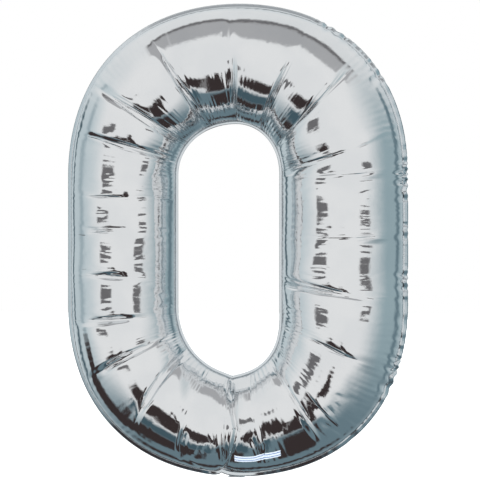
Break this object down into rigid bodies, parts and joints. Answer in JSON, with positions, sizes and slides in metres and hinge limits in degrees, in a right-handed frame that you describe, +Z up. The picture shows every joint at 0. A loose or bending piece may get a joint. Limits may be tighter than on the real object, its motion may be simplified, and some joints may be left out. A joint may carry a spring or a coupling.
{
  "type": "foil number balloon",
  "caption": "Inflated silver foil balloon in the shape of a zero, with welded seams and a folding filling neck with a film valve.",
  "frame": {"origin": "middle of the neck's crease, just under the bottom of the outer weld, where a ribbon is tied", "axes": "+Z up the numeral, -Y towards its printed front, +X to the right as it is read"},
  "size_m": [0.625, 0.1998, 0.8657],
  "materials": {
    "foil_front": "mirror-like metallised film, finely creased",
    "foil_back": "mirror-like metallised film, finely creased",
    "weld_foil": "heat-welded metallised film, slightly duller",
    "neck_foil": "metallised film, flat",
    "valve_film": "clear soft film",
    "release_ink": "thin printed coat",
    "print_ink": "thin printed ink"
  },
  "bodies": {
    "balloon": {"front_panel": "foil_front", "back_panel": "foil_back", "outer_weld_band": "weld_foil", "inner_weld_band": "weld_foil", "valve_front_film": "valve_film", "valve_back_film": "valve_film", "valve_release_coat": "release_ink", "printed_mark": "print_ink"},
    "neck": {"neck_front_ply": "neck_foil", "neck_back_ply": "neck_foil", "valve_mouth_front_film": "valve_film", "valve_mouth_back_film": "valve_film"}
  },
  "joints": [
    {"name": "neck_fold", "type": "hinge", "parent": "balloon", "child": "neck", "pos_m": [0, 0, 0], "axis": [1, 0, 0], "range_deg": [-195, 15]}
  ]
}
